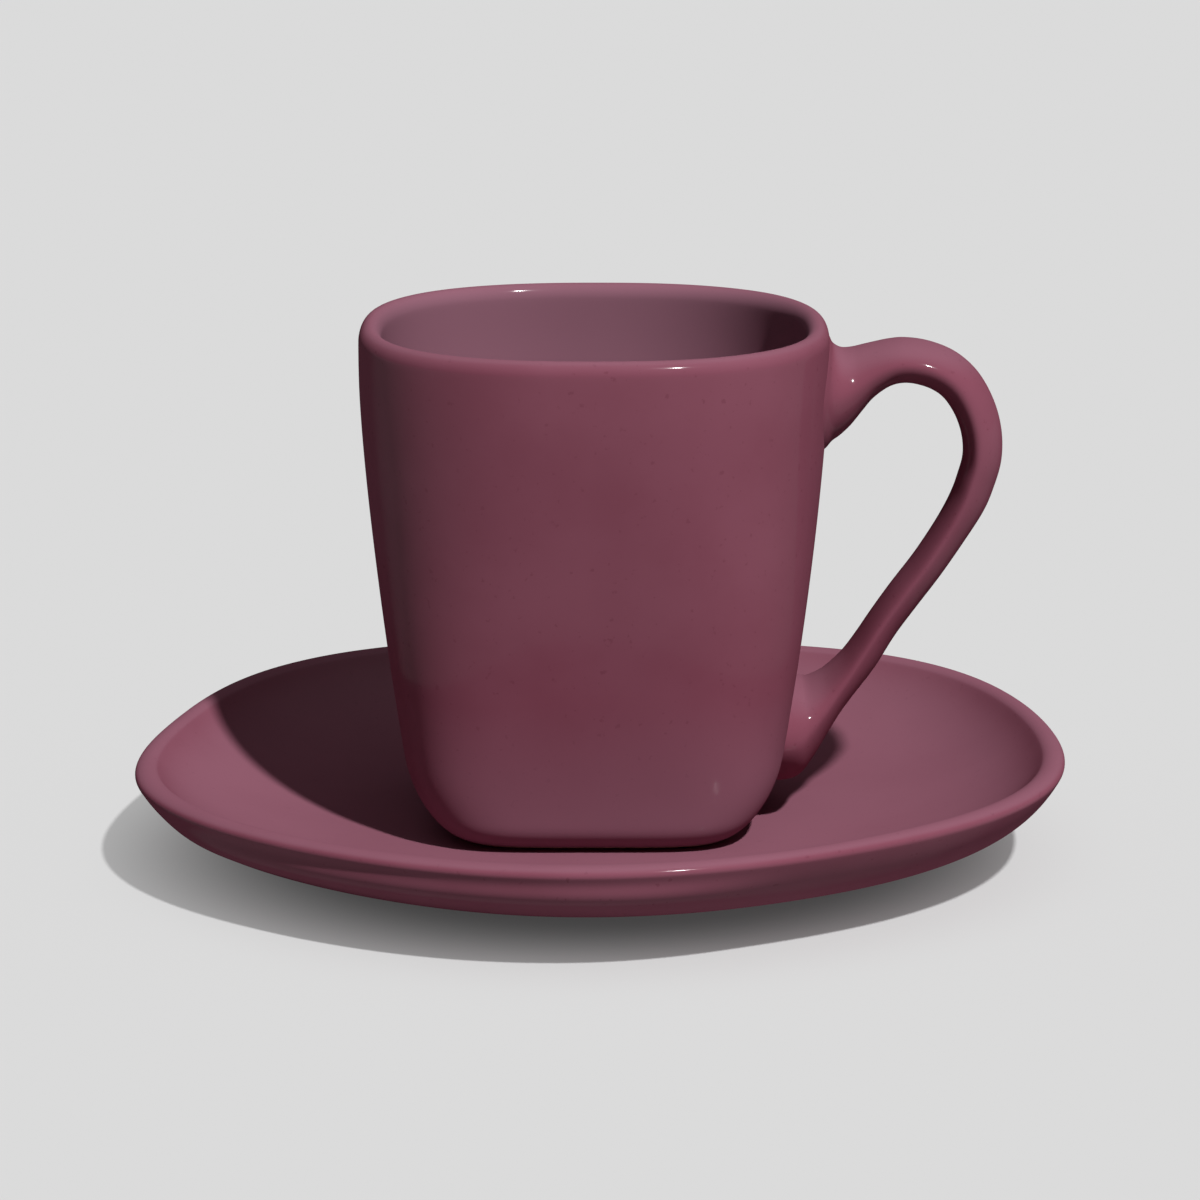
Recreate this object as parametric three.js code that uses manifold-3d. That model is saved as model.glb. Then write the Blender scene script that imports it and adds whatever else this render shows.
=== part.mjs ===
// Coffee cup on its saucer: a soft-square glazed cup with an ear handle, standing in a hand-formed saucer.
// Millimetres, +Z up. The handle points along +X and the origin is under the middle of the saucer.
import * as THREE from "three";
import { mergeVertices } from "three/addons/utils/BufferGeometryUtils.js";
import Module from "manifold-3d";

const wasm = await Module();
wasm.setup();

// Saucer
const saucerRadius = 77.7; // mean radius of the widest line
const saucerHeight = 17; // table to the top of the rim
const saucerRimWidth = 6; // of the oval that rounds the rim
const saucerRimDepth = 4.4;
const saucerBackTiltHeight = 0.3; // the rim's back stands this much higher than its middle
const saucerSideTiltHeight = 0.6; // and its side under the handle this much
const saucerFloorRadius = 34;
const saucerFloorThickness = 3.6;
const saucerFootRadius = 44.5;
const saucerFootWidth = 3.5;
const saucerFootHeight = 1.4; // the table to the recess inside the foot ring
const saucerFootFlareWidth = 2.5; // how far the foot ring widens up to the underside
const saucerUndersideHeight = 3.2; // the table to the underside where it meets the foot ring
const rimInnerAngle = 140; // where the rounded rim meets the dish, in degrees from its outer side
const undersideRimLength = 8.4; // how far the underside keeps the rim's upright side
const undersideFootLength = 12;
const undersideFootAngle = 9;
const dishRimLength = 7; // how far the dish keeps the rim's slope
const dishFloorLength = 18;
const saucerOvalDepth = 1.1; // how far the outline strays from a circle, by lobe
const saucerTriangleDepth = 0.65;
const saucerSquareDepth = 0.7;
const saucerPentagonDepth = 0.95;
const saucerLobes = [
  { count: 2, depth: saucerOvalDepth, angle: 90 },
  { count: 3, depth: saucerTriangleDepth, angle: 18 },
  { count: 4, depth: saucerSquareDepth, angle: 29 },
  { count: 5, depth: saucerPentagonDepth, angle: -23 },
];

// Cup body
const cupHeight = 82.3;
const cupMouthWidth = 76.8; // flat to flat
const cupBaseWidth = 58; // flat to flat where the tapered wall would meet the foot's plane
const cupUprightHeight = 8; // of the upright band below the lip
const cupTaperPower = 1.45;
const cupMouthSquareness = 2.48; // superellipse exponents: 2 is round, larger is squarer
const cupBaseSquareness = 3.94;
const cupSquarenessPower = 1.6;
const cupBaseEdgeWidth = 11; // rounding between wall and foot
const cupBaseEdgeHeight = 13.9;
const cupBaseEdgeDepth = 1.2; // how far the rounding would run on below the foot's plane
const cupWallThickness = 3.8;
const cupLipHeight = 2.6; // rounded part of the lip
const cupFloorThickness = 5; // thickness of the floor above the foot's plane
const cupFootWidth = 3.2;
const cupFootHeight = 1.2;
const cupOffset = -1; // the cup stands a little left of the saucer's middle

// Handle
const upperRootDepth = 7.8; // from the lip to where the strap's middle meets the wall
const lowerRootHeight = 13.6;
const handleReach = 26.8; // from the wall to the centre line's farthest point
const handleThickness = 5.4; // of the straight strap
const handleCrownThickness = 7.3; // of the top of the loop
const handleWidth = 11.6; // of the strap, across the loop's plane
const rootBuryDepth = 5; // how far the loop's ends run past the wall's face before they are cut

// Root pads: clay worked round both ends of the handle, over a thinner tenon
const upperPadHeight = 16;
const upperPadWidth = 17;
const upperPadLength = 9;
const lowerPadThickness = 8;
const lowerPadWidth = 17;
const lowerPadLength = 12.5;
const padEdgeThickness = 0.8; // thickness of the pad's thin end
const padFlarePower = 1.2; // how suddenly a pad widens: 1 is a straight cone
const jointGap = 0.3; // between pieces that meet
const seatGap = 0.3; // under the cup's foot

// Fineness
const roundSegments = 72;
const wallSteps = 8;
const edgeSteps = 6;
const loopSteps = 28;
const sectionSides = 20;

const saucerFloorHeight = saucerFootHeight + saucerFloorThickness;
const cupTaperHeight = cupHeight - cupUprightHeight;
const upperRootHeight = cupHeight - upperRootDepth;
const radians = THREE.MathUtils.degToRad;

// Bare closed surface: shared vertices merged, flat triangles on the axis dropped
function closedSurface(geometry) {
  const bare = new THREE.BufferGeometry();
  bare.setAttribute("position", geometry.attributes.position);
  bare.setIndex(geometry.index);
  const merged = mergeVertices(bare);
  const index = merged.index.array;
  const kept = [];
  for (let i = 0; i < index.length; i += 3) {
    const [a, b, c] = [index[i], index[i + 1], index[i + 2]];
    if (a !== b && b !== c && c !== a) kept.push(a, b, c);
  }
  merged.setIndex(kept);
  return merged;
}

// Turned solid about Z from a profile of (radius, height) points, with each vertex pushed out by a factor
function turnedSolid(profile, factor) {
  const turned = new THREE.LatheGeometry(profile, roundSegments);
  turned.rotateX(Math.PI / 2);
  const surface = closedSurface(turned);
  const position = surface.attributes.position;
  for (let i = 0; i < position.count; i++) {
    const [x, y, z] = [position.getX(i), position.getY(i), position.getZ(i)];
    const push = factor(Math.atan2(y, x), Math.hypot(x, y), z);
    position.setXY(i, x * push, y * push);
  }
  return surface;
}

// Solid through a row of rings, closed by a fan at each end
function loftedSolid(rings) {
  const sides = rings[0].length;
  const vertices = rings.flat();
  const triangles = [];
  for (let k = 0; k + 1 < rings.length; k++) {
    for (let j = 0; j < sides; j++) {
      const [a, b] = [k * sides + j, k * sides + ((j + 1) % sides)];
      triangles.push(a, a + sides, b, b, a + sides, b + sides);
    }
  }
  for (const [ring, start, turn] of [[rings[0], 0, 0], [rings.at(-1), vertices.length - sides, 1]]) {
    const middle = ring.reduce((sum, point) => sum.add(point), new THREE.Vector3()).divideScalar(sides);
    const centre = vertices.push(middle) - 1;
    for (let j = 0; j < sides; j++) {
      const edge = [start + j, start + ((j + 1) % sides)];
      triangles.push(centre, edge[turn], edge[1 - turn]);
    }
  }
  const geometry = new THREE.BufferGeometry().setFromPoints(vertices);
  geometry.setIndex(triangles);
  return geometry;
}

function toManifold(geometry) {
  const vertProperties = new Float32Array(geometry.attributes.position.array);
  const triVerts = new Uint32Array(geometry.index.array);
  return new wasm.Manifold(new wasm.Mesh({ numProp: 3, vertProperties, triVerts }));
}

function cut(geometry, ...tools) {
  const solid = tools.reduce((left, tool) => left.subtract(toManifold(tool)), toManifold(geometry));
  const mesh = solid.getMesh();
  const result = new THREE.BufferGeometry();
  result.setAttribute("position", new THREE.BufferAttribute(new Float32Array(mesh.vertProperties), 3));
  result.setIndex(new THREE.BufferAttribute(new Uint32Array(mesh.triVerts), 1));
  return result;
}

function arc(centreX, centreY, radiusX, radiusY, fromAngle, toAngle, steps) {
  const curve = new THREE.EllipseCurve(
    centreX, centreY, radiusX, radiusY, radians(fromAngle), radians(toAngle), toAngle < fromAngle);
  return curve.getPoints(steps);
}

// Saucer: foot ring, sloping underside, rounded rim and dished top
function saucerOutline(angle, radius) {
  const share = (radius / saucerRadius) ** 2;
  const bulge = saucerLobes.map((lobe) => lobe.depth * Math.cos(lobe.count * (angle - radians(lobe.angle))));
  return 1 + (share * bulge.reduce((sum, value) => sum + value, 0)) / saucerRadius;
}

function saucerProfile() {
  const [halfRim, halfDepth] = [saucerRimWidth / 2, saucerRimDepth / 2];
  const rimMiddle = new THREE.Vector2(saucerRadius - halfRim, saucerHeight - halfDepth);
  const rim = arc(rimMiddle.x, rimMiddle.y, halfRim, halfDepth, 0, rimInnerAngle, 2 * edgeSteps);
  const [rimStart, rimEnd] = [rim[0], rim.at(-1)];
  const turn = radians(rimInnerAngle);
  const dishRun = new THREE.Vector2(-halfRim * Math.sin(turn), halfDepth * Math.cos(turn));
  const rise = radians(undersideFootAngle);
  const footRun = new THREE.Vector2(Math.cos(rise), Math.sin(rise));
  const footEdge = new THREE.Vector2(saucerFootRadius + saucerFootFlareWidth, saucerUndersideHeight);
  const floorEdge = new THREE.Vector2(saucerFloorRadius, saucerFloorHeight);
  const underside = new THREE.CubicBezierCurve(
    footEdge,
    footEdge.clone().add(footRun.setLength(undersideFootLength)),
    rimStart.clone().sub(new THREE.Vector2(0, undersideRimLength)),
    rimStart);
  const top = new THREE.CubicBezierCurve(
    rimEnd,
    rimEnd.clone().add(dishRun.setLength(dishRimLength)),
    floorEdge.clone().add(new THREE.Vector2(dishFloorLength, 0)),
    floorEdge);
  const footInside = saucerFootRadius - saucerFootWidth;
  return [
    new THREE.Vector2(0, saucerFootHeight),
    new THREE.Vector2(footInside - saucerFootHeight, saucerFootHeight),
    new THREE.Vector2(footInside, 0),
    new THREE.Vector2(saucerFootRadius, 0),
    ...underside.getPoints(edgeSteps).slice(0, -1),
    ...rim,
    ...top.getPoints(edgeSteps + 2).slice(1),
    new THREE.Vector2(0, saucerFloorHeight),
  ];
}

function tiltRim(surface) {
  const position = surface.attributes.position;
  for (let i = 0; i < position.count; i++) {
    const [x, y, z] = [position.getX(i), position.getY(i), position.getZ(i)];
    const lift = (saucerSideTiltHeight * x + saucerBackTiltHeight * y) / saucerRadius;
    position.setZ(i, z + (lift * z) / saucerHeight);
  }
  return surface;
}

// Cup body: heights are above the cup's own foot
function wallHalfWidth(height) {
  const rest = Math.max(0, 1 - height / cupTaperHeight);
  return cupMouthWidth / 2 - ((cupMouthWidth - cupBaseWidth) / 2) * rest ** cupTaperPower;
}

function edgeInset(height, edgeWidth, edgeHeight) {
  const below = THREE.MathUtils.clamp(1 - height / edgeHeight, 0, 1);
  return edgeWidth * (1 - Math.sqrt(1 - below ** 2));
}

function outerHalfWidth(height) {
  return wallHalfWidth(height) - edgeInset(height + cupBaseEdgeDepth, cupBaseEdgeWidth, cupBaseEdgeHeight);
}

function innerHalfWidth(height) {
  const inset = edgeInset(height - cupFloorThickness, cupBaseEdgeWidth, cupBaseEdgeHeight);
  return wallHalfWidth(height) - cupWallThickness - inset;
}

function cupOutline(angle, radius, height) {
  const rest = THREE.MathUtils.clamp(1 - height / cupHeight, 0, 1);
  const power = cupMouthSquareness + (cupBaseSquareness - cupMouthSquareness) * rest ** cupSquarenessPower;
  return (Math.abs(Math.cos(angle)) ** power + Math.abs(Math.sin(angle)) ** power) ** (-1 / power);
}

// Heights that crowd towards the foot, where the edge turns fastest
function wallHeights(from, to) {
  const rounded = [];
  for (let i = 1; i < edgeSteps; i++) {
    rounded.push(from + cupBaseEdgeHeight * (1 - Math.cos((i / edgeSteps) * (Math.PI / 2))));
  }
  const straight = [];
  for (let i = 0; i < wallSteps; i++) {
    const start = from + cupBaseEdgeHeight;
    straight.push(start + ((to - start) * i) / wallSteps);
  }
  return [...rounded, ...straight];
}

function cupProfile() {
  const lipRadius = cupWallThickness / 2;
  const lipHeight = cupHeight - cupLipHeight;
  const footOutside = outerHalfWidth(0);
  const footInside = footOutside - cupFootWidth;
  return [
    new THREE.Vector2(0, cupFootHeight),
    new THREE.Vector2(footInside - cupFootHeight, cupFootHeight),
    new THREE.Vector2(footInside, 0),
    new THREE.Vector2(footOutside, 0),
    ...wallHeights(0, lipHeight).map((height) => new THREE.Vector2(outerHalfWidth(height), height)),
    ...arc(wallHalfWidth(lipHeight) - lipRadius, lipHeight, lipRadius, cupLipHeight, 0, 180, edgeSteps),
    ...wallHeights(cupFloorThickness, lipHeight).reverse()
      .map((height) => new THREE.Vector2(innerHalfWidth(height), height)),
    new THREE.Vector2(innerHalfWidth(cupFloorThickness), cupFloorThickness),
    new THREE.Vector2(0, cupFloorThickness),
  ];
}

// The cup's outer form as a solid block, grown by the joint gap: what the handle and its pads stop at
function cupBlock() {
  const grown = (height) => new THREE.Vector2(outerHalfWidth(height) + jointGap, height);
  const heights = wallHeights(0, cupHeight);
  return turnedSolid([
    new THREE.Vector2(0, -jointGap),
    new THREE.Vector2(outerHalfWidth(0), -jointGap),
    ...heights.map(grown),
    grown(cupHeight + jointGap),
    new THREE.Vector2(0, cupHeight + jointGap),
  ], cupOutline);
}

// Handle: stations from the upper root round the loop to the lower root, as
// [share of the root spacing above the lower root, share of the reach outside the wall]
const loopStations = [
  [1, 0],
  [1.018, 0.309],
  [1.022, 0.475],
  [0.977, 0.764],
  [0.8, 1],
  [0.632, 0.94],
  [0.457, 0.745],
  [0.294, 0.522],
  [0.162, 0.33],
  [0.065, 0.188],
  [-0.035, 0],
];
const crownStation = 2;
const strapStation = 5;

function loopPoint([rise, out]) {
  const height = lowerRootHeight + (upperRootHeight - lowerRootHeight) * rise;
  const upperWall = wallHalfWidth(upperRootHeight);
  const lowerWall = wallHalfWidth(lowerRootHeight);
  return new THREE.Vector3(lowerWall + (upperWall - lowerWall) * rise + handleReach * out, 0, height);
}

function loopCurve() {
  const points = loopStations.map(loopPoint);
  const upperEnd = points[0].clone().sub(new THREE.Vector3(rootBuryDepth, 0, 0));
  const lowerRun = points.at(-1).clone().sub(points.at(-2)).setLength(rootBuryDepth);
  const lowerEnd = points.at(-1).clone().add(lowerRun);
  return new THREE.CatmullRomCurve3([upperEnd, ...points, lowerEnd]);
}

const loop = loopCurve();
const loopLength = loop.getLength();
const upperRoot = rootBuryDepth / loopLength; // shares of the loop's length
const upperTip = upperRoot + upperPadLength / loopLength;
const lowerRoot = 1 - rootBuryDepth / loopLength;
const lowerTip = lowerRoot - lowerPadLength / loopLength;

// Oval ring across the loop, moved towards the loop's inside by an offset
function loopRing(at, thickness, width, offset = 0) {
  const along = loop.getTangentAt(at);
  const outward = new THREE.Vector3(-along.z, 0, along.x);
  const middle = loop.getPointAt(at).addScaledVector(outward, -offset);
  const ring = [];
  for (let j = 0; j < sectionSides; j++) {
    const turn = (j / sectionSides) * 2 * Math.PI;
    const point = middle.clone().addScaledVector(outward, (Math.cos(turn) * thickness) / 2);
    point.y = (Math.sin(turn) * width) / 2;
    ring.push(point);
  }
  return ring;
}

function strapThickness(at) {
  const station = at * (loopStations.length + 1) - 1;
  const share = THREE.MathUtils.smoothstep(station, crownStation, strapStation);
  return THREE.MathUtils.lerp(handleCrownThickness, handleThickness, share);
}

function spread(from, to, steps) {
  return Array.from({ length: steps + 1 }, (_, k) => THREE.MathUtils.lerp(from, to, k / steps));
}

// The strap, with a tenon at each end that the pads go round; growth is added all round the tenons
function strapRings(growth) {
  const inset = 2 * (padEdgeThickness + jointGap - growth);
  const shoulder = jointGap / loopLength;
  const tenon = (at) => loopRing(at, strapThickness(at) - inset, handleWidth - inset);
  return [
    ...spread(0, upperTip + shoulder, edgeSteps).map(tenon),
    ...spread(upperTip + shoulder, lowerTip - shoulder, loopSteps)
      .map((at) => loopRing(at, strapThickness(at), handleWidth)),
    ...spread(lowerTip - shoulder, 1, edgeSteps).map(tenon),
  ];
}

// Pad: thins from its size at the wall to the strap's own size at its tip.
// lean moves the flare to the loop's inside: 0 is even all round, 1 leaves the outside straight
function padRings(root, tip, end, thickness, width, lean) {
  const flare = (at, share) => {
    const [strap, swell] = [strapThickness(at), (1 - share) ** padFlarePower];
    const growth = (thickness - strap) * swell;
    return loopRing(at, strap + growth, THREE.MathUtils.lerp(handleWidth, width, swell), (lean * growth) / 2);
  };
  const rings = spread(root, tip, edgeSteps).map((at, k) => flare(at, k / edgeSteps));
  return [flare(end, 0), ...rings];
}

// Materials: one deep red glaze, with a colour of its own for each piece
function glaze(color) {
  return new THREE.MeshStandardMaterial({ color, roughness: 0.16, metalness: 0 });
}

function piece(name, geometry, color) {
  geometry.computeVertexNormals();
  const mesh = new THREE.Mesh(geometry, glaze(color));
  mesh.name = name;
  return mesh;
}

const cup = new THREE.Group();
const block = cupBlock();
const grownTenons = loftedSolid(strapRings(jointGap));
const upperPad = loftedSolid(padRings(upperRoot, upperTip, 0, upperPadHeight, upperPadWidth, 1));
const lowerPad = loftedSolid(
  padRings(lowerRoot, lowerTip, 1, lowerPadThickness, lowerPadWidth, 0).reverse());
cup.add(
  piece("cup_body", turnedSolid(cupProfile(), cupOutline), 0x7a4858),
  piece("handle", cut(loftedSolid(strapRings(0)), block), 0x7d4a5b),
  piece("upper_root_pad", cut(upperPad, block, grownTenons), 0x774555),
  piece("lower_root_pad", cut(lowerPad, block, grownTenons), 0x774555),
);
cup.position.set(cupOffset, 0, saucerFloorHeight + seatGap);

const group = new THREE.Group();
group.add(piece("saucer", tiltRim(turnedSolid(saucerProfile(), saucerOutline)), 0x764453), cup);

// The origin goes under the middle of the saucer's outline
const middle = new THREE.Box3().setFromObject(group).getCenter(new THREE.Vector3());
group.children.forEach((child) => child.position.sub(new THREE.Vector3(middle.x, middle.y, 0)));

export default group;
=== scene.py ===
import math

import bpy
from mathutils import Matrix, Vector
from mathutils.geometry import interpolate_bezier


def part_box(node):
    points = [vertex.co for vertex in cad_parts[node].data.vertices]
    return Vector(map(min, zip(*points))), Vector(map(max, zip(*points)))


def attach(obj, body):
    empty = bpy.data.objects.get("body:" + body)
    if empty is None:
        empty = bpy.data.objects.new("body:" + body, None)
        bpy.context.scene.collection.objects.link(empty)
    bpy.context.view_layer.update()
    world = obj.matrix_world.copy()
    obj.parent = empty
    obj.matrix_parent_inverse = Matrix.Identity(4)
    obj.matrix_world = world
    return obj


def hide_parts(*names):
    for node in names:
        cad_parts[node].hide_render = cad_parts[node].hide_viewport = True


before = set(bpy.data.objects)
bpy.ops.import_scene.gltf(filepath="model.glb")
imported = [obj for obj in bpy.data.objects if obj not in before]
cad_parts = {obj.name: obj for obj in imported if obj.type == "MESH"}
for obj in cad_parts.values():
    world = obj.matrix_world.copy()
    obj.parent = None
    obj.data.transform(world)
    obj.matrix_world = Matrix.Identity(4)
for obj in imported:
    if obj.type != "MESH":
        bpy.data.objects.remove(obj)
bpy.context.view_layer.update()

mm = 0.001  # Blender works in metres
hair = 0.01 * mm  # less than any step in the shapes

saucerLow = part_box("saucer")[0]
cupLow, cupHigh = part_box("cup_body")
cupMiddle = (cupLow + cupHigh) / 2
cupPlace = Vector((cupMiddle.x, cupMiddle.y, cupLow.z))  # middle of the cup's foot
cupHeight = cupHigh.z - cupLow.z
mouthHalf = (cupHigh.x - cupLow.x) / 2


# Section drawing: points are (distance from the axis, height)
def point(out, up):
    return Vector((out, up))


def arcPoints(middle, radii, startAngle, endAngle, steps):
    points = []
    for step in range(steps + 1):
        turn = math.radians(startAngle + (endAngle - startAngle) * step / steps)
        points.append(middle + point(radii.x * math.cos(turn), radii.y * math.sin(turn)))
    return points


def curvePoints(start, startPull, endPull, end, steps):
    corners = [corner.to_3d() for corner in (start, startPull, endPull, end)]
    return [found.to_2d() for found in interpolate_bezier(*corners, steps + 1)]


# Pull one point along the section, spin the line round the axis and close it
def turnPiece(name, section, sides):
    bpy.ops.object.select_all(action="DESELECT")
    bpy.ops.mesh.primitive_plane_add(size=mm)
    piece = bpy.context.object
    piece.name = name
    piece.data.name = name
    bpy.ops.object.mode_set(mode="EDIT")
    bpy.ops.mesh.select_all(action="SELECT")
    bpy.ops.mesh.merge(type="CENTER")
    bpy.ops.transform.translate(value=(section[0].x, 0, section[0].y))
    for here, there in zip(section, section[1:]):
        step = there - here
        bpy.ops.mesh.extrude_vertices_move(TRANSFORM_OT_translate={"value": (step.x, 0, step.y)})
    bpy.ops.mesh.select_all(action="SELECT")
    bpy.ops.mesh.spin(steps=sides, angle=2 * math.pi, center=(0, 0, 0), axis=(0, 0, 1))
    bpy.ops.mesh.select_all(action="SELECT")
    bpy.ops.mesh.remove_doubles(threshold=0.002 * mm)
    bpy.ops.mesh.normals_make_consistent(inside=False)
    bpy.ops.object.mode_set(mode="OBJECT")
    return piece


def applyModifier(piece, modifier):
    bpy.context.view_layer.objects.active = piece
    bpy.ops.object.modifier_apply(modifier=modifier.name)


# One round of subdivision, then the slow unevenness that a hand leaves in clay
def finishClay(piece, look):
    smooth = piece.modifiers.new("smooth", "SUBSURF")
    smooth.levels = look["smoothing"]
    smooth.render_levels = look["smoothing"]
    applyModifier(piece, smooth)
    clay = bpy.data.textures.new(piece.name + "Clay", "CLOUDS")
    clay.noise_scale = look["unevenSize"]
    clay.noise_depth = 1
    uneven = piece.modifiers.new("uneven", "DISPLACE")
    uneven.texture = clay
    uneven.texture_coords = "LOCAL"
    uneven.mid_level = 0.5
    uneven.strength = look["unevenDepth"]
    applyModifier(piece, uneven)
    bpy.ops.object.shade_smooth()


def placePiece(piece, place):
    bpy.ops.object.select_all(action="DESELECT")
    piece.select_set(True)
    bpy.context.view_layer.objects.active = piece
    piece.location = place
    bpy.ops.object.transform_apply(location=True, rotation=True, scale=True)


# Saucer: foot ring, bowl-shaped underside, rounded rim and dished top
saucerDish = {
    "rimRadius": 78.05 * mm,  # mean, to the widest line
    "rimHeight": 17.1 * mm,
    "rimWidth": 4.2 * mm,  # of the oval that rounds the rim
    "rimDepth": 2.6 * mm,
    "rimOuterAngle": -20,  # where the rim meets the underside, from its widest line
    "rimInnerAngle": 152,  # and where it meets the dish
    "backLift": -0.64 * mm,  # how much higher than the middle the rim's back stands
    "sideLift": 0.73 * mm,  # and its side under the handle
    "underRimPull": 14 * mm,
    "underFootPull": 11.6 * mm,
    "underFootAngle": 12.6,
    "underHeight": 3.2 * mm,
    "dishRimPull": 11 * mm,
    "dishFloorPull": 18 * mm,
    "floorRadius": 34 * mm,
    "floorHeight": 5 * mm,
    "footRadius": 44.5 * mm,
    "footWidth": 3.5 * mm,
    "footFlare": 2.5 * mm,
    "footHeight": 1.4 * mm,
    "footRound": 0.6 * mm,
    "lobes": (  # count, depth, angle
        (2, 0.8 * mm, 90),
        (3, 0.84 * mm, 10.4),
        (4, 1.31 * mm, 39.5),
        (5, 1.47 * mm, -21),
    ),
    "swell": 1.62 * mm,  # fuller clay below the rim, at the front and to its left
    "swellAngle": 248,
    "swellStart": 0.68,  # cosines of the turns from there at which it starts and is full
    "swellFull": 0.93,
    "swellHeight": 11.4 * mm,
    "swellReach": 3.4 * mm,
    "midWallOut": 0.8 * mm,  # line between the underside and the dish: how far past the rim it starts
    "midWallLean": 1.3,  # and how much it runs in on its way down
    "place": Vector((-0.02 * mm, -0.27 * mm, 0.06 * mm)),
    "sides": 128,
    "smoothing": 1,
    "unevenSize": 45 * mm,
    "unevenDepth": 0.25 * mm,
}


def slope(angle, length):
    return point(math.cos(math.radians(angle)), math.sin(math.radians(angle))) * length


def saucerSection(look):
    rimHalf = point(look["rimWidth"] / 2, look["rimDepth"] / 2)
    rimMiddle = point(look["rimRadius"] - rimHalf.x, look["rimHeight"] - rimHalf.y)
    rim = arcPoints(rimMiddle, rimHalf, look["rimOuterAngle"], look["rimInnerAngle"], steps=20)
    underRun = (slope(look["rimOuterAngle"] - 90, 1) * rimHalf).normalized()
    dishRun = (slope(look["rimInnerAngle"] + 90, 1) * rimHalf).normalized()
    footTop, footRound = look["footHeight"], look["footRound"]
    footInside = look["footRadius"] - look["footWidth"]
    footEdge = point(look["footRadius"] + look["footFlare"], look["underHeight"])
    floorEdge = point(look["floorRadius"], look["floorHeight"])
    underside = curvePoints(
        footEdge,
        footEdge + slope(look["underFootAngle"], look["underFootPull"]),
        rim[0] + underRun * look["underRimPull"],
        rim[0],
        steps=40)
    dish = curvePoints(
        rim[-1],
        rim[-1] + dishRun * look["dishRimPull"],
        floorEdge + point(look["dishFloorPull"], 0),
        floorEdge,
        steps=24)
    foot = [
        point(0, footTop),
        point(footInside / 2, footTop),
        point(footInside - footTop - footRound, footTop),
        point(footInside - footTop + footRound, footTop - footRound),
        point(footInside - footRound, footRound / 2),
        point(footInside + footRound, 0),
        point(look["footRadius"] - footRound, 0),
        point(look["footRadius"] + footRound / 2, footRound / 2),
        footEdge - point(2 * footRound, 2 * footRound),
        footEdge - point(footRound / 2, footRound / 2),
    ]
    floor = [point(look["floorRadius"] * share, look["floorHeight"]) for share in (0.85, 0.6, 0.3, 0)]
    return foot + underside[1:-1] + rim + dish[1:] + floor


def ease(value, low, high):
    share = min(max((value - low) / (high - low), 0), 1)
    return share * share * (3 - 2 * share)


# The swell lies under the rim only, so points of the dish are left alone
def frontSwell(look, out, turn, height):
    reach = (height - look["swellHeight"]) / look["swellReach"]
    runIn = look["midWallLean"] * (look["rimHeight"] - height)
    if abs(reach) > 1 or out < look["rimRadius"] + look["midWallOut"] - runIn:
        return 0
    toward = math.cos(turn - math.radians(look["swellAngle"]))
    return look["swell"] * (1 - reach ** 2) ** 2 * ease(toward, look["swellStart"], look["swellFull"])


def lobeDepth(look, turn):
    return sum(
        depth * math.cos(count * (turn - math.radians(angle)))
        for count, depth, angle in look["lobes"]
    )


def shapeSaucer(piece, look):
    radius = look["rimRadius"]
    for vertex in piece.data.vertices:
        x, y, z = vertex.co
        out = math.hypot(x, y)
        turn = math.atan2(y, x)
        push = 1 + (out / radius) ** 2 * lobeDepth(look, turn) / radius
        if out > 0:
            push += frontSwell(look, out, turn, z) / out
        lift = (look["sideLift"] * x + look["backLift"] * y) / radius
        vertex.co = (x * push, y * push, z + lift * z / look["rimHeight"])


def makeSaucer(look):
    piece = turnPiece("saucer_dish", saucerSection(look), look["sides"])
    shapeSaucer(piece, look)
    finishClay(piece, look)
    placePiece(piece, look["place"])
    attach(piece, "saucer")
    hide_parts("saucer")
    print("saucer made:", len(piece.data.polygons), "faces")
    return piece


# Cup: soft-square, narrower at the base, heights above its own foot
cupShell = {
    "baseHalf": 29 * mm,  # where the tapered wall would meet the foot's plane
    "uprightBand": 8 * mm,
    "taperPower": 1.45,
    "mouthSquareness": 2.48,  # 2 is round, larger is squarer
    "baseSquareness": 5,
    "squarenessPower": 2.2,
    "edgeWidth": 11 * mm,  # base edge at the sides
    "edgeHeight": 13.9 * mm,
    "edgeDrop": 1.2 * mm,  # how far the rounding would run on below the foot
    "faceEdgeWidth": 7 * mm,  # base edge at the front and back, which is tighter
    "faceEdgeHeight": 4.4 * mm,
    "faceEdgeDrop": 0.4 * mm,
    "edgeSteps": 12,
    "wallSteps": 18,
    "wall": 3.8 * mm,
    "lipRise": 2.6 * mm,
    "floorHeight": 5 * mm,
    "footWidth": 3.2 * mm,
    "footHeight": 1.2 * mm,
    "footRound": 0.5 * mm,
    "sides": 128,
    "smoothing": 1,
    "unevenSize": 40 * mm,
    "unevenDepth": 0.2 * mm,
}


def wallHalf(look, height):
    rest = max(0, 1 - height / (cupHeight - look["uprightBand"]))
    return mouthHalf - (mouthHalf - look["baseHalf"]) * rest ** look["taperPower"]


def edgeInset(width, rise, height):
    below = min(max(1 - height / rise, 0), 1)
    return width * (1 - math.sqrt(1 - below ** 2))


def sideInset(look, height):
    return edgeInset(look["edgeWidth"], look["edgeHeight"], height)


def sideHalf(look, height):
    return wallHalf(look, height) - sideInset(look, height + look["edgeDrop"])


def faceHalf(look, height):
    above = height + look["faceEdgeDrop"]
    return wallHalf(look, height) - edgeInset(look["faceEdgeWidth"], look["faceEdgeHeight"], above)


# How much further the front and back stand out than the sides. The whole foot takes the share at its edge
def faceFullness(look, out, height):
    if height > look["floorHeight"] - hair and out < sideHalf(look, height) - look["wall"] / 2:
        return 1  # inside the cup
    level = height if out > sideHalf(look, 0) + hair else 0
    return faceHalf(look, level) / sideHalf(look, level)


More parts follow.
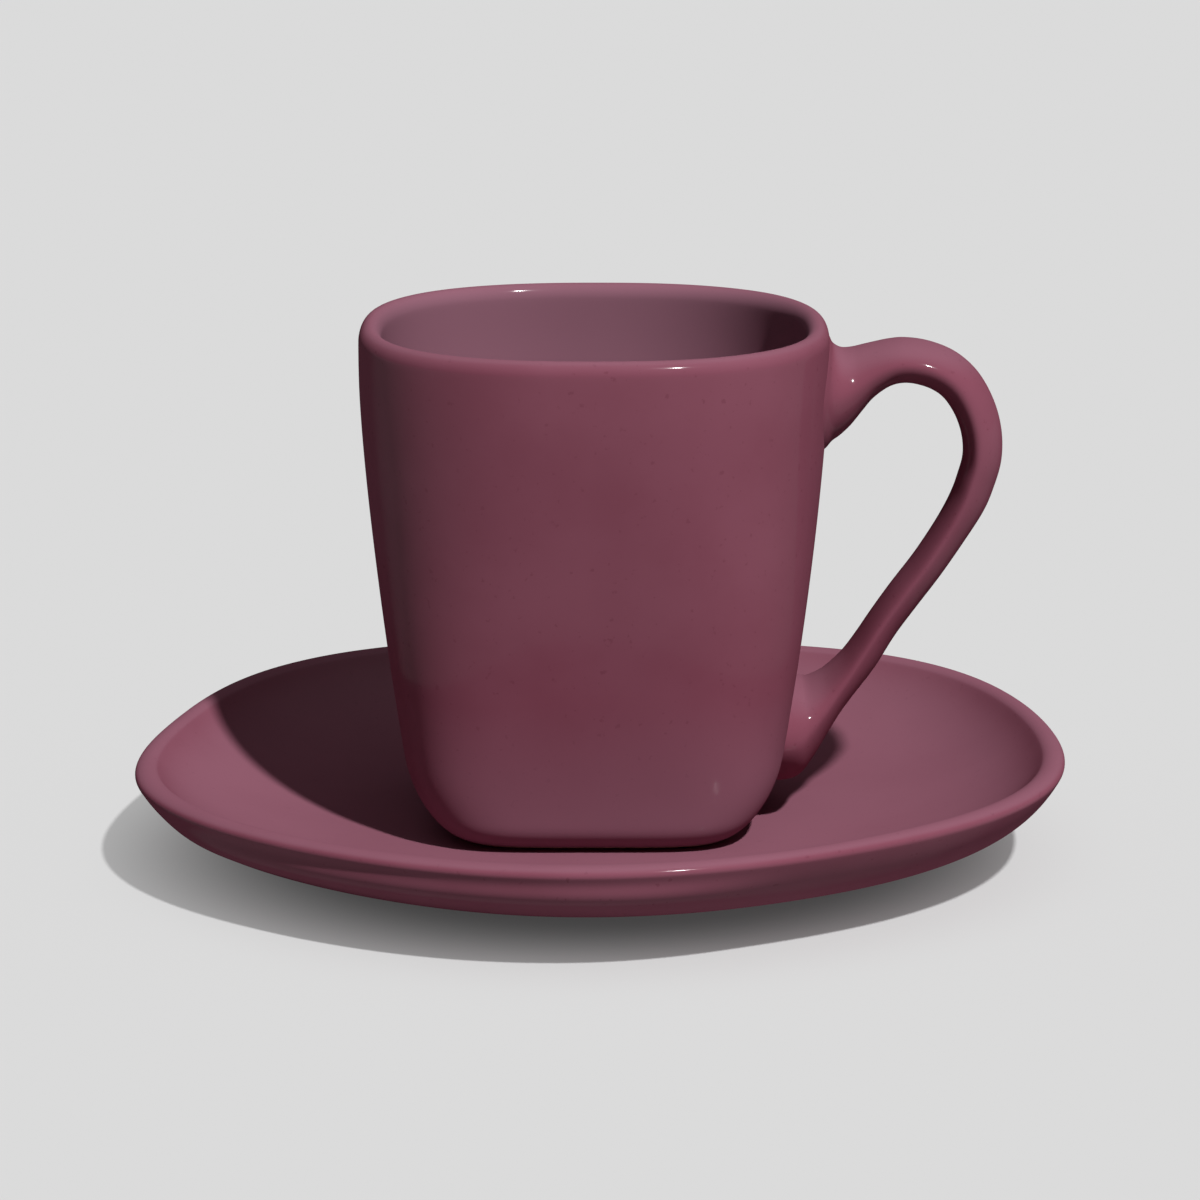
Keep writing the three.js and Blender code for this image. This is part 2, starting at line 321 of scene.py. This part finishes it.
def squareness(look, height):
    rest = min(max(1 - height / cupHeight, 0), 1)
    spread = look["baseSquareness"] - look["mouthSquareness"]
    return look["mouthSquareness"] + spread * rest ** look["squarenessPower"]


def wallHeights(look, start, end):
    edgeSteps, wallSteps = look["edgeSteps"], look["wallSteps"]
    turns = [math.radians(90 * step / edgeSteps) for step in range(1, edgeSteps)]
    rounded = [start + look["edgeHeight"] * (1 - math.cos(turn)) for turn in turns]
    above = start + look["edgeHeight"]
    return rounded + [above + (end - above) * step / wallSteps for step in range(wallSteps)]


def cupSection(look):
    lipStart = cupHeight - look["lipRise"]
    wall, floorHeight = look["wall"], look["floorHeight"]
    footOutside = sideHalf(look, 0)
    footInside = footOutside - look["footWidth"]
    footTop, footRound = look["footHeight"], look["footRound"]
    foot = [
        point(0, footTop),
        point(footInside / 2, footTop),
        point(footInside - footTop - footRound, footTop),
        point(footInside - footTop + footRound, footTop - footRound),
        point(footInside - footRound, footRound / 2),
        point(footInside + footRound, 0),
        point(footOutside, 0),
    ]
    outside = [point(sideHalf(look, up), up) for up in wallHeights(look, 0, lipStart)]
    lipMiddle = point(wallHalf(look, lipStart) - wall / 2, lipStart)
    lip = arcPoints(lipMiddle, point(wall / 2, look["lipRise"]), 0, 180, steps=16)
    inside = [
        point(wallHalf(look, up) - wall - sideInset(look, up - floorHeight), up)
        for up in reversed(wallHeights(look, floorHeight, lipStart))
    ]
    floorHalf = wallHalf(look, floorHeight) - wall - sideInset(look, 0)
    floor = [point(floorHalf * share, floorHeight) for share in (1, 0.75, 0.4, 0)]
    return foot + outside + lip + inside + floor


def makeCup(look):
    piece = turnPiece("cup_shell", cupSection(look), look["sides"])
    for vertex in piece.data.vertices:
        x, y, z = vertex.co
        turn, power = math.atan2(y, x), squareness(look, z)
        push = (abs(math.cos(turn)) ** power + abs(math.sin(turn)) ** power) ** (-1 / power)
        full = faceFullness(look, math.hypot(x, y), z)
        vertex.co = (x * push, y * push * full, z)
    finishClay(piece, look)
    placePiece(piece, cupPlace)
    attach(piece, "cup")
    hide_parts("cup_body")
    print("cup made:", len(piece.data.polygons), "faces")
    return piece


# Handle: rings across the strap from the upper root round to the lower one. Each has its inner edge and
# outer edge (out from the cup's axis, up from its foot) and its width across, in millimetres
handleLoop = {
    "rings": (
        ((36.6, 60.6), (36.9, 81.2), 28.0),  # buried in the wall
        ((37.9, 61.5), (38.3, 80.0), 23.0),
        ((38.9, 62.6), (39.0, 78.6), 18.6),
        ((40.2, 63.5), (40.4, 77.8), 16.0),
        ((42.0, 65.2), (42.2, 77.9), 13.9),
        ((43.8, 67.5), (43.9, 78.3), 12.8),
        ((45.6, 69.7), (45.7, 78.7), 12.1),
        ((48.2, 71.6), (48.2, 79.2), 11.7),
        ((50.6, 72.2), (50.9, 79.4), 11.6),
        ((53.0, 71.9), (54.9, 78.8), 11.6),
        ((55.4, 71.0), (59.2, 77.0), 11.6),
        ((57.4, 69.4), (62.8, 73.8), 11.6),
        ((59.2, 66.5), (65.4, 69.3), 11.6),
        ((60.3, 63.1), (66.8, 64.4), 11.6),
        ((60.5, 59.6), (66.9, 59.3), 11.6),
        ((59.7, 56.4), (65.7, 54.7), 11.6),
        ((58.6, 53.2), (64.1, 50.7), 11.6),
        ((56.4, 48.8), (61.0, 45.7), 11.6),
        ((52.75, 43.0), (57.2, 40.0), 11.6),
        ((48.9, 37.8), (53.35, 34.8), 11.6),
        ((45.6, 33.0), (49.8, 29.9), 11.8),
        ((43.0, 29.0), (46.7, 24.7), 12.3),
        ((40.9, 26.2), (43.9, 20.9), 13.0),
        ((38.3, 23.8), (41.2, 17.3), 14.2),
        ((36.2, 22.6), (38.8, 13.4), 16.0),
        ((34.8, 22.2), (36.2, 9.0), 18.2),
        ((34.0, 22.4), (33.3, 5.7), 20.4),
        ((32.4, 23.0), (28.3, 5.2), 22.0),
        ((30.5, 22.6), (26.5, 6.1), 22.0),  # buried in the wall
    ),
    "stepsBetween": 4,
    "outerFullness": 1.6,  # of the section's sides: 2 is an oval, smaller is more pointed
    "innerFullness": 2,
    "strapRings": (9, 15, 21, 24),  # where the strap's own section starts, holds and ends
    "rootWidest": 0.5,  # where the section is widest, as a share of its thickness from the inner edge
    "strapWidest": 0.32,
    "broadening": 1.24,
    "hugReach": 6 * mm,  # how far from the wall a root follows the wall's curve
    "sides": 32,
    "smoothing": 1,
    "unevenSize": 30 * mm,
    "unevenDepth": 0.15 * mm,
}


# Smooth run through four values, from the second to the third
def glide(a, b, c, d, share):
    bend = 2 * a - 5 * b + 4 * c - d
    twist = 3 * (b - c) + d - a
    return b + 0.5 * share * (c - a + share * (bend + share * twist))


def ringAt(look, place):
    rings = look["rings"]
    first = min(int(place), len(rings) - 2)
    around = [rings[min(max(first + step, 0), len(rings) - 1)] for step in (-1, 0, 1, 2)]
    share = place - first
    inner = [glide(*(ring[0][axis] for ring in around), share) * mm for axis in (0, 1)]
    outer = [glide(*(ring[1][axis] for ring in around), share) * mm for axis in (0, 1)]
    width = glide(*(ring[2] for ring in around), share) * mm
    return point(*inner), point(*outer), width


# How far the wall's curve has fallen back at a distance from its middle
def wallDrop(height, across):
    half = wallHalf(cupShell, height)
    power = squareness(cupShell, height)
    return half - half * (1 - abs(across / half) ** power) ** (1 / power)


def layOnLoop(piece, look):
    for vertex in piece.data.vertices:
        turn = math.atan2(vertex.co.y, vertex.co.x)
        ring = vertex.co.z / look["stepsBetween"]
        inner, outer, width = ringAt(look, ring)
        start, full, fade, end = look["strapRings"]
        slide = ease(ring, start, full) - ease(ring, fade, end)
        widest = look["rootWidest"] + (look["strapWidest"] - look["rootWidest"]) * slide
        side = math.cos(turn)
        if side > 0:
            depth = widest + (1 - widest) * side ** (2 / look["outerFullness"])
        else:
            depth = widest - widest * abs(side) ** (2 / look["innerFullness"])
        place = inner + (outer - inner) * depth
        across = width / 2 * look["broadening"] * math.sin(turn)
        clear = (place.x - wallHalf(cupShell, place.y)) / look["hugReach"]
        hug = 1 - min(max(clear, 0), 1)
        vertex.co = (place.x - hug * wallDrop(place.y, across), across, place.y)


def makeHandle(look):
    bpy.ops.object.select_all(action="DESELECT")
    bpy.ops.mesh.primitive_circle_add(vertices=look["sides"], radius=1, fill_type="NGON")
    piece = bpy.context.object
    piece.name = "handle_loop"
    piece.data.name = "handle_loop"
    bpy.ops.object.mode_set(mode="EDIT")
    bpy.ops.mesh.select_all(action="SELECT")
    for _ in range((len(look["rings"]) - 1) * look["stepsBetween"]):
        bpy.ops.mesh.extrude_region_move(TRANSFORM_OT_translate={"value": (0, 0, 1)})
    bpy.ops.object.mode_set(mode="OBJECT")
    layOnLoop(piece, look)
    bpy.ops.object.mode_set(mode="EDIT")
    bpy.ops.mesh.select_all(action="SELECT")
    bpy.ops.mesh.normals_make_consistent(inside=False)
    bpy.ops.object.mode_set(mode="OBJECT")
    finishClay(piece, look)
    placePiece(piece, cupPlace)
    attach(piece, "cup")
    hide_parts("handle", "upper_root_pad", "lower_root_pad")
    print("handle made:", len(piece.data.polygons), "faces")
    return piece


# Finish: deep red glossy glaze over stoneware, left bare where a foot ring stood in the kiln
def linear(value):
    share = value / 255
    return share / 12.92 if share <= 0.04045 else ((share + 0.055) / 1.055) ** 2.4


def tint(red, green, blue):
    return (linear(red), linear(green), linear(blue), 1)


redGlaze = {
    "thick": tint(127, 70, 86),
    "thin": tint(133, 77, 93),
    "fleck": tint(114, 59, 74),
    "pale": tint(139, 96, 111),  # painted light: paler where light falls, on top faces, inside the cup and low on its wall
    "topShare": 0.5,
    "topStart": 0.5,  # how far up a face looks where this starts, and where it is full
    "topFull": 0.9,
    "paintedBounceShare": 0.9,  # painted bounce light, low on the cup's wall and fullest at its base
    "paintedBounceHeight": 26 * mm,
    "clay": tint(196, 170, 146),
    "bareHeight": 0.35 * mm,
    "bareEdge": 0.4 * mm,
    "mottleScale": 40,  # patches about 25 mm across
    "patchLow": 0.3,  # the part of the noise that makes patches
    "patchHigh": 0.7,
    "fleckScale": 900,
    "fleckLow": 0.66,  # only its peaks make flecks
    "fleckHigh": 0.74,
    "fleckShare": 0.5,
    "roughScale": 80,
    "roughLow": 0.09,
    "roughHigh": 0.14,
    "clayRough": 0.75,
    "rippleScale": 110,
    "rippleDepth": 0.6 * mm,
    "rippleStrength": 0.06,
    "grainScale": 1600,
    "grainDepth": 0.05 * mm,
    "grainStrength": 0.03,
    "gloss": 1.16,
    "glossLevel": 0.5,
    "glossStart": 0.15,  # how far a face turns away before its gloss fades, and before it is gone
    "glossEnd": 0.7,
}


def addNode(tree, kind, **settings):
    node = tree.nodes.new("ShaderNode" + kind)
    for name, value in settings.items():
        setattr(node, name, value)
    return node


def noiseNode(tree, place, scale, detail):
    noise = addNode(tree, "TexNoise")
    noise.inputs["Scale"].default_value = scale
    noise.inputs["Detail"].default_value = detail
    tree.links.new(place.outputs["Object"], noise.inputs["Vector"])
    return noise.outputs["Fac"]


def spreadNode(tree, value, low, high, toLow, toHigh):
    spread = addNode(tree, "MapRange", interpolation_type="SMOOTHSTEP")
    for name, level in (("From Min", low), ("From Max", high), ("To Min", toLow), ("To Max", toHigh)):
        spread.inputs[name].default_value = level
    tree.links.new(value, spread.inputs["Value"])
    return spread.outputs["Result"]


def blendNode(tree, share, first, second):
    blend = addNode(tree, "Mix", data_type="RGBA")
    tree.links.new(share, blend.inputs["Factor"])
    colours = [socket for socket in blend.inputs if socket.type == "RGBA"]
    for socket, value in zip(colours, (first, second)):
        if isinstance(value, bpy.types.NodeSocket):
            tree.links.new(value, socket)
        else:
            socket.default_value = value
    return next(socket for socket in blend.outputs if socket.type == "RGBA")


def bumpNode(tree, height, strength, depth):
    bump = addNode(tree, "Bump")
    bump.inputs["Strength"].default_value = strength
    bump.inputs["Distance"].default_value = depth
    tree.links.new(height, bump.inputs["Height"])
    return bump


def glazeColour(tree, look, place, glazed):
    patches = noiseNode(tree, place, look["mottleScale"], detail=5)
    mottle = spreadNode(tree, patches, look["patchLow"], look["patchHigh"], 0, 1)
    peaks = noiseNode(tree, place, look["fleckScale"], detail=2)
    flecks = spreadNode(tree, peaks, look["fleckLow"], look["fleckHigh"], 0, look["fleckShare"])
    paintedLight = addNode(tree, "Attribute", attribute_name="paintedLight")
    colour = blendNode(tree, mottle, look["thick"], look["thin"])
    colour = blendNode(tree, flecks, colour, look["fleck"])
    # painted light: the pale colour on top faces, inside the cup and low on its wall
    colour = blendNode(tree, paintedLight.outputs["Fac"], colour, look["pale"])
    return blendNode(tree, glazed, look["clay"], colour)


def glazeRoughness(tree, look, place, glazed):
    patches = noiseNode(tree, place, look["roughScale"], detail=3)
    low, high = look["patchLow"], look["patchHigh"]
    rough = spreadNode(tree, patches, low, high, look["roughLow"], look["roughHigh"])
    clayRough = spreadNode(tree, glazed, 0, 1, look["clayRough"], 0)
    roughest = addNode(tree, "Math", operation="MAXIMUM")
    tree.links.new(rough, roughest.inputs[0])
    tree.links.new(clayRough, roughest.inputs[1])
    return roughest.outputs["Value"]


def glazeSurface(tree, look, place):
    waves = noiseNode(tree, place, look["rippleScale"], detail=1)
    grit = noiseNode(tree, place, look["grainScale"], detail=2)
    ripple = bumpNode(tree, waves, look["rippleStrength"], look["rippleDepth"])
    grain = bumpNode(tree, grit, look["grainStrength"], look["grainDepth"])
    tree.links.new(ripple.outputs["Normal"], grain.inputs["Normal"])
    return grain.outputs["Normal"]


def glazeMaterial(name, footPlane):
    look = redGlaze
    material = bpy.data.materials.new(name)
    material.use_nodes = True
    tree = material.node_tree
    shader = tree.nodes["Principled BSDF"]
    shader.inputs["IOR"].default_value = look["gloss"]
    place = addNode(tree, "TexCoord")
    split = addNode(tree, "SeparateXYZ")
    tree.links.new(place.outputs["Object"], split.inputs["Vector"])
    bare = footPlane + look["bareHeight"]
    glazed = spreadNode(tree, split.outputs["Z"], bare, bare + look["bareEdge"], 0, 1)
    turned = addNode(tree, "LayerWeight").outputs["Facing"]
    sheen = spreadNode(tree, turned, look["glossStart"], look["glossEnd"], look["glossLevel"], 0)
    tree.links.new(glazeColour(tree, look, place, glazed), shader.inputs["Base Color"])
    tree.links.new(glazeRoughness(tree, look, place, glazed), shader.inputs["Roughness"])
    tree.links.new(glazeSurface(tree, look, place), shader.inputs["Normal"])
    tree.links.new(sheen, shader.inputs["Specular IOR Level"])
    return material


# How far through the cup's wall a point lies: 0 outside, 1 inside
def wallShare(vertex):
    x, y, z = vertex.co - cupPlace
    power = squareness(cupShell, z)
    out = (abs(x) ** power + abs(y) ** power) ** (1 / power)
    return (wallHalf(cupShell, z) - out) / cupShell["wall"]


# Marks the painted light that draws the glaze pale: on top faces and, on the cup, inside it and low on
# its wall
def markPaintedLight(piece, insideHeight=None):
    look = redGlaze
    paintedLight = piece.data.attributes.new("paintedLight", "FLOAT", "POINT")
    for vertex, share in zip(piece.data.vertices, paintedLight.data):
        # painted light from above, on faces that look up
        share.value = look["topShare"] * ease(vertex.normal.z, look["topStart"], look["topFull"])
        if insideHeight:
            # painted bounce light, low on the cup's wall
            paintedBounce = 1 - (vertex.co.z - cupPlace.z) / look["paintedBounceHeight"]
            share.value = max(share.value, look["paintedBounceShare"] * paintedBounce)
            # painted light on the inside of the cup
            if vertex.co.z > insideHeight:
                share.value = max(share.value, min(max(wallShare(vertex), 0), 1))


def dress(piece, material):
    piece.data.materials.clear()
    piece.data.materials.append(material)


# Studio: pale floor, one key light from the front right, soft light overhead and a little from the right
studio = {
    "floorSize": 16,
    "floorDrop": 0.02 * mm,
    "shadowNear": 46 * mm,  # between these distances the floor's own glow takes over from its shade
    "shadowFar": 96 * mm,
    "shadeNear": 0.615,
    "shadeFar": 0.28,
    "glowNear": 0.055,
    "glowFar": 0.41,
    "keyToward": Vector((0.335, -0.53, 0.779)),
    "keyStrength": 3.5,
    "keyAngle": 2.5,
    "base": 0.02,
    "glows": (  # towards, sharpness, strength
        (Vector((0, 0, 1)), 3, 0.42),
        (Vector((0.9, -0.2, 0.35)), 4, 0.05),
    ),
}


def makeFloor(look):
    bpy.ops.object.select_all(action="DESELECT")
    bpy.ops.mesh.primitive_plane_add(size=look["floorSize"], location=(0, 0, -look["floorDrop"]))
    floor = bpy.context.object
    floor.name = "floor"
    material = bpy.data.materials.new("paleFloor")
    material.use_nodes = True
    tree = material.node_tree
    shader = tree.nodes["Principled BSDF"]
    shader.inputs["Roughness"].default_value = 1
    shader.inputs["Specular IOR Level"].default_value = 0
    shader.inputs["Emission Color"].default_value = (1, 1, 1, 1)
    place = addNode(tree, "TexCoord")
    reach = addNode(tree, "VectorMath", operation="LENGTH")
    tree.links.new(place.outputs["Object"], reach.inputs[0])
    near, far = look["shadowNear"], look["shadowFar"]
    shade = spreadNode(tree, reach.outputs["Value"], near, far, look["shadeNear"], look["shadeFar"])
    glow = spreadNode(tree, reach.outputs["Value"], near, far, look["glowNear"], look["glowFar"])
    ray = addNode(tree, "LightPath")
    seen = ray.outputs["Is Camera Ray"]
    for kind in ("Is Glossy Ray", "Is Transmission Ray"):
        either = addNode(tree, "Math", operation="MAXIMUM")
        tree.links.new(seen, either.inputs[0])
        tree.links.new(ray.outputs[kind], either.inputs[1])
        seen = either.outputs["Value"]
    shown = addNode(tree, "Math", operation="MULTIPLY")
    tree.links.new(seen, shown.inputs[0])
    tree.links.new(glow, shown.inputs[1])
    tree.links.new(shade, shader.inputs["Base Color"])
    tree.links.new(shown.outputs["Value"], shader.inputs["Emission Strength"])
    dress(floor, material)


def makeKeyLight(look):
    toward = look["keyToward"].normalized()
    bpy.ops.object.light_add(type="SUN", location=toward)
    key = bpy.context.object
    key.name = "keyLight"
    key.rotation_euler = toward.to_track_quat("Z", "Y").to_euler()
    key.data.energy = look["keyStrength"]
    key.data.angle = math.radians(look["keyAngle"])


def makeSurroundings(look):
    world = bpy.data.worlds.new("studioLight")
    bpy.context.scene.world = world
    world.use_nodes = True
    tree = world.node_tree
    background = tree.nodes["Background"]
    place = addNode(tree, "TexCoord")
    total = None
    for toward, sharpness, strength in look["glows"]:
        facing = addNode(tree, "VectorMath", operation="DOT_PRODUCT")
        facing.inputs[1].default_value = toward.normalized()
        tree.links.new(place.outputs["Generated"], facing.inputs[0])
        front = addNode(tree, "Math", operation="MAXIMUM")
        front.inputs[1].default_value = 0
        tree.links.new(facing.outputs["Value"], front.inputs[0])
        narrow = addNode(tree, "Math", operation="POWER")
        narrow.inputs[1].default_value = sharpness
        tree.links.new(front.outputs["Value"], narrow.inputs[0])
        glow = addNode(tree, "Math", operation="MULTIPLY_ADD")
        glow.inputs[1].default_value = strength
        glow.inputs[2].default_value = look["base"]
        tree.links.new(narrow.outputs["Value"], glow.inputs[0])
        if total:
            tree.links.new(total, glow.inputs[2])
        total = glow.outputs["Value"]
    tree.links.new(total, background.inputs["Strength"])
    background.inputs["Color"].default_value = (1, 1, 1, 1)


# Camera where the photograph was taken from
cameraStand = {
    "elevation": 13.12,
    "distance": 883.9 * mm,
    "target": Vector((cupPlace.x + 0.98 * mm, cupPlace.y, 40.77 * mm)),
    "lens": 160.56,
    "sensor": 36,
    "nearest": 10 * mm,
}


def makeCamera(look):
    rise = math.radians(look["elevation"])
    back = Vector((0, -math.cos(rise), math.sin(rise))) * look["distance"]
    bpy.ops.object.camera_add(location=look["target"] + back, rotation=(math.pi / 2 - rise, 0, 0))
    camera = bpy.context.object
    camera.name = "camera"
    camera.data.lens = look["lens"]
    camera.data.sensor_width = look["sensor"]
    camera.data.clip_start = look["nearest"]
    bpy.context.scene.camera = camera


makeCamera(cameraStand)
saucer = makeSaucer(saucerDish)
cup = makeCup(cupShell)
handle = makeHandle(handleLoop)
# painted light, marked on each piece for the glaze's pale colour
markPaintedLight(saucer)
markPaintedLight(cup, cupPlace.z + cupShell["floorHeight"] / 2)
markPaintedLight(handle)
dress(saucer, glazeMaterial("saucerGlaze", saucerLow.z))
dress(cup, glazeMaterial("cupGlaze", cupLow.z))
dress(handle, glazeMaterial("handleGlaze", cupLow.z))
print("glazed")
makeFloor(studio)
makeKeyLight(studio)
makeSurroundings(studio)
bpy.context.scene.view_settings.view_transform = "Standard"
print("studio lit")
